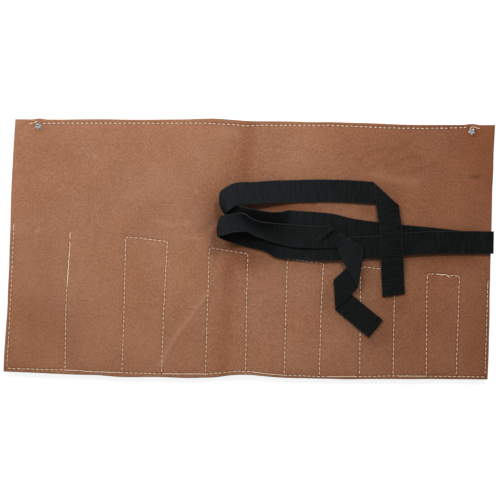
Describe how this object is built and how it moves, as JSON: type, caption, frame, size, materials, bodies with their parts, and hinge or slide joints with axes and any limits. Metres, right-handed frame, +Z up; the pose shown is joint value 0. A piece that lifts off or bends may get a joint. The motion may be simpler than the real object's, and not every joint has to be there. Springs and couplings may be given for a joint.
{
  "type": "tool roll",
  "caption": "Suede tool roll lying open face down, with stitched graded pockets, a fold-over flap, star rivets and a doubled webbing tie sewn at one edge.",
  "frame": {"origin": "middle of the plan, on the surface that the pockets rest on", "axes": "+X along the roll towards the tie, +Y towards the flap's edge, +Z up out of the outer face"},
  "size_m": [0.5418, 0.2888, 0.0321],
  "materials": {
    "suede": "napped suede, matt",
    "inner_suede": "napped suede, matt",
    "webbing": "ribbed woven webbing",
    "white_thread": "waxed thread",
    "black_thread": "sewing thread",
    "rivet_steel": "plated steel, worn"
  },
  "bodies": {
    "roll": {"base_panel": "suede", "pocket_panel": "inner_suede", "flap_sewn_edge": "inner_suede", "rivet_left": "rivet_steel", "rivet_right": "rivet_steel", "thread_top": "white_thread", "thread_bottom": "white_thread", "thread_left_edge": "white_thread", "thread_divider": "white_thread", "thread_right_edge": "white_thread", "thread_arch_1": "white_thread", "thread_arch_2": "white_thread", "thread_arch_3": "white_thread", "thread_arch_4": "white_thread", "thread_arch_5": "white_thread", "thread_tie_box": "black_thread", "tie_sewn_fold": "webbing"},
    "flap": {"flap_panel": "inner_suede"},
    "ties": {"tie_tail_long": "webbing", "tie_tail_short": "webbing"}
  },
  "joints": [
    {"name": "flap_fold", "type": "hinge", "parent": "roll", "child": "flap", "pos_m": [0, 0.12711, 0.0032], "axis": [1, 0, 0], "range_deg": [0, 177]},
    {"name": "tie_lift", "type": "hinge", "parent": "roll", "child": "ties", "pos_m": [0.24029, 0.01081, 0.01105], "axis": [0, 1, 0], "range_deg": [0, 170]}
  ]
}
